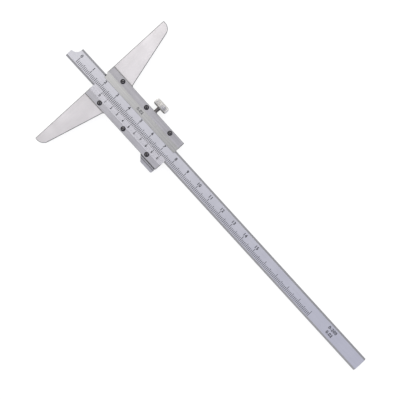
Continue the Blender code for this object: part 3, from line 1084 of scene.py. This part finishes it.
@dataclass
class LockScrew:
    """The lock screw: a threaded stud, its knurled head and the brass pad before it."""

    axis: Point = (0.0, -35.2, 5.05)
    stud_start: float = 7.3
    stud_end: float = 17.3
    stud_radius: float = 1.25
    thread_depth: float = 0.17
    pitch: float = 0.45
    thread_steps: int = 28
    thread_rows: int = 3
    thread_smooth: float = 25.0
    knob_start: float = 14.1
    knob_end: float = 18.2
    knob_radius: float = 4.8
    knob_chamfer: float = 0.7
    knob_fillet: float = 0.12
    knob_smooth: float = 28.0
    knurls: int = 40
    knurl_depth: float = 0.3
    knurl_fade: float = 0.7
    knurl_shape: tuple[Span, ...] = ((-0.15, 0.0), (0.15, 0.0), (0.35, 0.85), (0.5, 1.0), (0.65, 0.85))
    dish_border: float = 0.9
    dish_inset: float = 1.1
    dish_depth: float = 0.12
    dish_hub: float = 0.6
    bore_radius: float = 1.35
    web: float = 0.8
    stud_finish: TurnedMetal = TurnedMetal(
        "oiled_stud_steel",
        (0.30, 0.285, 0.28),
        0.35,
        rings=2.0,
        ring_contrast=0.2,
        worn_colour=(0.42, 0.40, 0.38),
        worn_reach=0.08,
    )
    knob_finish: TurnedMetal = TurnedMetal(
        "satin_nickelled_knob",
        (0.62, 0.61, 0.585),
        0.32,
        rings=3.0,
        ring_contrast=0.10,
        worn_colour=(0.70, 0.69, 0.67),
        worn_reach=0.12,
        # darker inner rim: painted shade on the knob's inner face
        foot_colour=(0.20, 0.195, 0.19),
        foot_level=14.95,
    )
    pad_finish: TurnedMetal = TurnedMetal(
        "turned_brass", (0.70, 0.52, 0.22), 0.33, rings=4.0, worn_colour=(0.85, 0.68, 0.34)
    )

    def build(self, bench: Workbench) -> None:
        """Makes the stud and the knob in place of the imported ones, and dresses the pad.

        Args:
            bench: what makes and hangs the pieces.
        """
        place = Matrix.Translation(Vector(self.axis) * MM) @ Matrix.Rotation(math.pi / 2, 4, "Y")
        body = Body.LOCK_SCREW
        bench.dress("lock_pad", self.pad_finish)
        stud, knob = self.stud_mesh(), self.knob_mesh()
        bench.add("threaded_stud", stud, self.stud_finish, body, Slot.STUD, place, ["lock_stud"])
        bench.add("knurled_knob", knob, self.knob_finish, body, Slot.KNOB, place, ["lock_knob"])

    def stud_mesh(self) -> bpy.types.Mesh:
        """Makes the stud with a true right-hand helix.

        Returns:
            The stud's mesh, along Z from its own axis point.
        """
        shape = bmesh.new()
        root = self.stud_radius - self.thread_depth
        turns = int((self.stud_end - self.stud_start) / self.pitch) + 1
        rows = []
        for row in range(-self.thread_rows, turns * self.thread_rows + 1):
            radius = root if row % self.thread_rows else self.stud_radius
            ring = []
            for step in range(self.thread_steps + 1):
                share = step / self.thread_steps
                height = self.stud_start + (row / self.thread_rows + share) * self.pitch
                kept = min(max(height, self.stud_start), self.stud_end)
                reach = radius if kept == height else root
                angle = 2 * math.pi * share
                ring.append(shape.verts.new((reach * math.cos(angle), reach * math.sin(angle), kept)))
            rows.append(ring)
        for lower, upper in zip(rows, rows[1:]):
            for step in range(self.thread_steps):
                corners = (lower[step], lower[step + 1], upper[step + 1], upper[step])
                shape.faces.new(corners)
        bmesh.ops.remove_doubles(shape, verts=shape.verts, dist=MERGE_DISTANCE)
        bmesh.ops.dissolve_degenerate(shape, edges=shape.edges, dist=MERGE_DISTANCE)
        bmesh.ops.holes_fill(shape, edges=shape.edges, sides=0)
        return finished_mesh("threaded_stud", shape, self.thread_smooth)

    def knob_mesh(self) -> bpy.types.Mesh:
        """Makes the knob: knurled rim, chamfers, a shallow dish outside and a bore inside.

        Returns:
            The knob's mesh, along Z from the stud's axis point.
        """
        shape = bmesh.new()
        face = self.knob_radius - self.knob_chamfer
        low, high = self.knob_start, self.knob_end
        fillet, fade = self.knob_fillet, self.knurl_fade
        rings = [
            (self.bore_radius, high - self.web, 0.0),
            (self.bore_radius, low, 0.0),
            (face - fillet, low, 0.0),
            (face, low + fillet / 2, 0.0),
            (self.knob_radius - fillet, low + self.knob_chamfer - fillet / 2, fade),
            (self.knob_radius, low + self.knob_chamfer + fillet, 1.0),
            (self.knob_radius, high - self.knob_chamfer - fillet, 1.0),
            (self.knob_radius - fillet, high - self.knob_chamfer + fillet / 2, fade),
            (face, high - fillet / 2, 0.0),
            (face - fillet, high, 0.0),
            (face - self.dish_border, high, 0.0),
            (face - self.dish_inset, high - self.dish_depth, 0.0),
            (self.dish_hub, high - self.dish_depth, 0.0),
        ]
        loops = []
        for radius, height, knurl in rings:
            loop = []
            for count in range(self.knurls):
                for share, cut in self.knurl_shape:
                    angle = 2 * math.pi * (count + share) / self.knurls
                    reach = radius - self.knurl_depth * cut * knurl
                    point = (reach * math.cos(angle), reach * math.sin(angle), height)
                    loop.append(shape.verts.new(point))
            loops.append(loop)
        for lower, upper in zip(loops, loops[1:]):
            for index, corner in enumerate(lower):
                after = (index + 1) % len(lower)
                shape.faces.new((corner, lower[after], upper[after], upper[index]))
        shape.faces.new(loops[0])
        shape.faces.new(loops[-1])
        return finished_mesh("knurled_knob", shape, self.knob_smooth)


@dataclass(frozen=True)
class Softbox:
    """A square lamp that faces the gauge's head, with its power in watts."""

    name: str
    place: Point
    size: float
    power: float
    colour: Colour = (1.0, 0.985, 0.97)

    def build(self) -> None:
        """Makes the lamp."""
        light = bpy.data.lights.new(self.name, "AREA")
        light.shape = "SQUARE"
        light.size = self.size * MM
        light.energy = self.power
        light.color = self.colour
        box = bpy.data.objects.new(self.name, light)
        box.location = Vector(self.place) * MM
        box.rotation_euler = (-Vector(self.place)).to_track_quat("-Z", "Y").to_euler()
        bpy.context.scene.collection.objects.link(box)


@dataclass
class Studio:
    """The white table, the pale world, the softboxes and the camera."""

    floor_level: float = -0.05
    floor_half: float = 4000.0
    camera_place: Point = (-5.94, -35.52, 653.19)
    camera_aim: Point = (-4.04, -91.02, 0.0)
    camera_up: Point = (0.67463, 0.73567, -0.06055)
    lens: float = 100.39
    zenith: Colour = (0.92, 0.91, 0.91)
    tail_side: Colour = (0.84, 0.862, 1.085)
    tail_way: Point = (0.0, -1.0, 0.5)
    tail_span: Span = (0.4, 0.85)
    flank: Colour = (0.50, 0.50, 0.52)
    flank_way: Point = (0.707, -0.707, 0.0)
    flank_span: Span = (0.55, 0.95)
    dusk: Colour = (0.08, 0.08, 0.09)
    dusk_way: Point = (0.0, -1.0, 0.0)
    dusk_span: Span = (0.6, 0.85)
    softboxes: tuple[Softbox, ...] = (
        Softbox("key_softbox", (420.0, 300.0, 820.0), 620.0, 2.5),
        Softbox("fill_softbox", (-190.0, 110.0, 200.0), 240.0, 0.2),
        Softbox("side_softbox", (172.0, -145.0, 250.0), 110.0, 0.08),
    )

    def build(self) -> None:
        """Makes the whole studio."""
        self.build_floor()
        self.build_world()
        for softbox in self.softboxes:
            softbox.build()
        self.build_camera()

    def build_floor(self) -> None:
        """Makes the table top that the gauge lies on."""
        shape = bmesh.new()
        bmesh.ops.create_grid(shape, x_segments=8, y_segments=8, size=self.floor_half)
        bmesh.ops.translate(shape, vec=(0.0, 0.0, self.floor_level), verts=shape.verts)
        mesh = finished_mesh("table_top", shape)
        mesh.materials.append(PaleFloor().material())
        table = bpy.data.objects.new("table_top", mesh)
        bpy.context.scene.collection.objects.link(table)

    def build_world(self) -> None:
        """Makes a pale surround with two darker flanks and a dark horizon behind the tail."""
        world = bpy.data.worlds.new("pale_surround")
        world.use_nodes = True
        bpy.context.scene.world = world
        board = NodeBoard(world.node_tree)
        where = board.add("ShaderNodeTexCoord").outputs["Generated"]
        tail = board.vector("DOT_PRODUCT", where, self.tail_way)
        across = board.math("ABSOLUTE", board.vector("DOT_PRODUCT", where, self.flank_way))
        upper = board.blend(board.ease(tail, *self.tail_span), self.zenith, self.tail_side)
        sides = board.blend(board.ease(across, *self.flank_span), upper, self.flank)
        low = board.vector("DOT_PRODUCT", where, self.dusk_way)
        colour = board.blend(board.ease(low, *self.dusk_span), sides, self.dusk)
        sky = board.add("ShaderNodeBackground", {"Color": colour, "Strength": 1.0})
        board.add("ShaderNodeOutputWorld", {"Surface": sky.outputs[0]})

    def build_camera(self) -> None:
        """Makes the camera at the photograph's viewing angle."""
        data = bpy.data.cameras.new("camera")
        data.lens = self.lens
        camera = bpy.data.objects.new("camera", data)
        back = (Vector(self.camera_place) - Vector(self.camera_aim)).normalized()
        right = Vector(self.camera_up).cross(back).normalized()
        up = back.cross(right)
        turn = Matrix((right, up, back)).transposed().to_4x4()
        camera.matrix_world = Matrix.Translation(Vector(self.camera_place) * MM) @ turn
        bpy.context.scene.collection.objects.link(camera)
        bpy.context.scene.camera = camera
        bpy.context.scene.view_settings.view_transform = "Standard"


def main() -> None:
    """Builds and dresses the gauge and its studio, in order."""
    logging.basicConfig(level=logging.INFO, format="%(name)s: %(message)s")
    for item in list(bpy.data.objects):
        bpy.data.objects.remove(item, do_unlink=True)
    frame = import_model()
    bench = Workbench(frame["nodes"])
    assemblies = (
        GraduatedBeam(),
        WingedBase(),
        VernierPlate(),
        GuidePlate(),
        PlateScrews(),
        LockScrew(),
    )
    for assembly in assemblies:
        assembly.build(bench)
    Studio().build()


if __name__ == "__main__":
    main()
